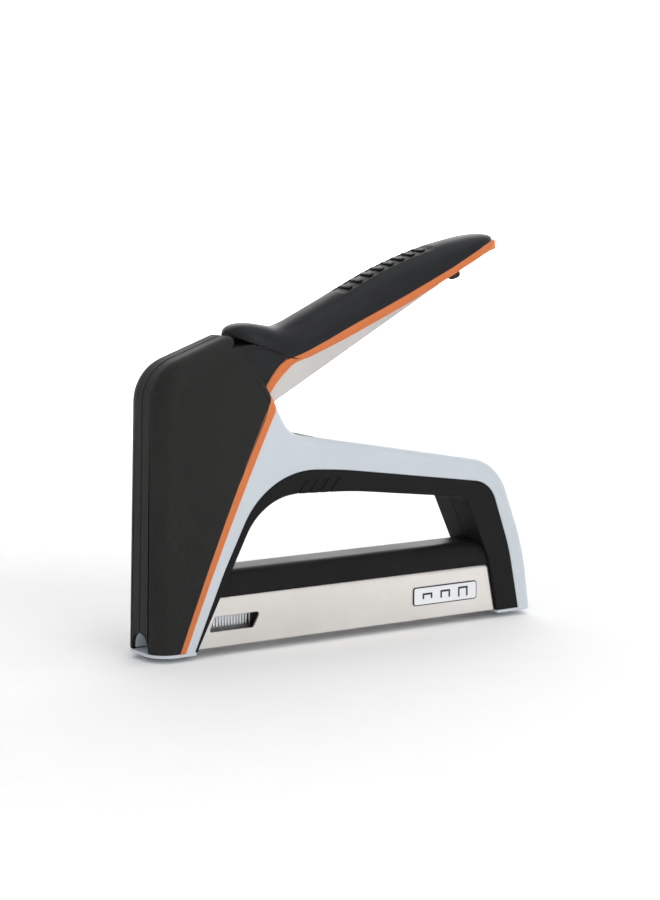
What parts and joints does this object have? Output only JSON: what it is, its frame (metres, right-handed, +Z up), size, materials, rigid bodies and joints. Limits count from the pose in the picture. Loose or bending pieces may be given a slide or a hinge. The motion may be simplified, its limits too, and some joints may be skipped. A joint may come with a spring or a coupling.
{
  "type": "staple gun",
  "caption": "Squeeze-lever hand staple gun with a hollow finger loop, a sprung driver and a rear-loading steel magazine.",
  "frame": {"origin": "bottom centre of the whole tool, level with the underside of the steel nose tip", "axes": "+X from the nose towards the foot, +Y to the right side seen from behind the nose, +Z up"},
  "size_m": [0.1714, 0.0258, 0.1491],
  "materials": {
    "cover_black": "fine moulded texture",
    "accent_orange": "satin",
    "frame_grey": "satin painted plastic",
    "liner_rubber": "soft overmoulding",
    "bar_black": "satin",
    "shroud_steel": "brushed along its length",
    "label_white": "printed label",
    "rail_steel": "plain",
    "staple_zinc": "galvanised wire",
    "guide_steel": "zinc plated",
    "bumper_rubber": "plain",
    "spring_steel": "oiled",
    "pin_steel": "ground",
    "screw_steel": "blackened",
    "lever_steel": "brushed",
    "grip_black": "satin",
    "bush_brass": "plain",
    "latch_black": "satin"
  },
  "bodies": {
    "housing": {"body_screws": "screw_steel", "driver_guide": "guide_steel", "left_accent_strip": "accent_orange", "left_body_shell": "frame_grey", "left_grip_liner": "liner_rubber", "left_label_plate": "label_white", "left_nose_cover": "cover_black", "lever_pivot_pin": "pin_steel", "magazine_cover_bar": "bar_black", "magazine_shroud": "shroud_steel", "main_spring": "spring_steel", "plunger_bumper": "bumper_rubber", "right_accent_strip": "accent_orange", "right_body_shell": "frame_grey", "right_grip_liner": "liner_rubber", "right_label_plate": "label_white", "right_nose_cover": "cover_black", "spring_seat": "guide_steel", "staple_rail": "rail_steel", "staple_strip": "staple_zinc"},
    "lever": {"lever_arms": "lever_steel", "lever_grip": "grip_black", "lever_neck_guard": "grip_black", "lever_trim": "accent_orange", "lever_inset": "grip_black", "lever_bumper": "bumper_rubber", "lever_rivets": "pin_steel", "lever_bushing": "bush_brass"},
    "plunger": {"plunger": "guide_steel", "driver_blade": "spring_steel", "blade_rivet": "pin_steel", "lift_pins": "pin_steel"},
    "magazine_slide": {"guide_rod": "pin_steel", "rod_clip": "spring_steel", "magazine_latch": "latch_black", "pusher_spring": "spring_steel"},
    "pusher": {"pusher": "guide_steel"}
  },
  "joints": [
    {"name": "lever_squeeze", "type": "hinge", "parent": "housing", "child": "lever", "pos_m": [-0.04175, 0, 0.082], "axis": [0, 1, 0], "range_deg": [0, 29], "stiffness_Nm_per_rad": 10, "springref_deg": -20.05},
    {"name": "plunger_lift", "type": "slide", "parent": "housing", "child": "plunger", "axis": [0, 0, 1], "range_m": [0, 0.0158], "deforming": ["main_spring"]},
    {"name": "magazine_draw", "type": "slide", "parent": "housing", "child": "magazine_slide", "axis": [1, 0, 0], "range_m": [0, 0.11]},
    {"name": "pusher_travel", "type": "slide", "parent": "magazine_slide", "child": "pusher", "axis": [1, 0, 0], "range_m": [0, 0.06], "stiffness_N_per_m": 25, "springref_m": -0.06, "deforming": ["pusher_spring"]}
  ],
  "couplings": [
    {"joint": "plunger_lift", "follows": "lever_squeeze", "m_per_rad": 0.031168}
  ]
}
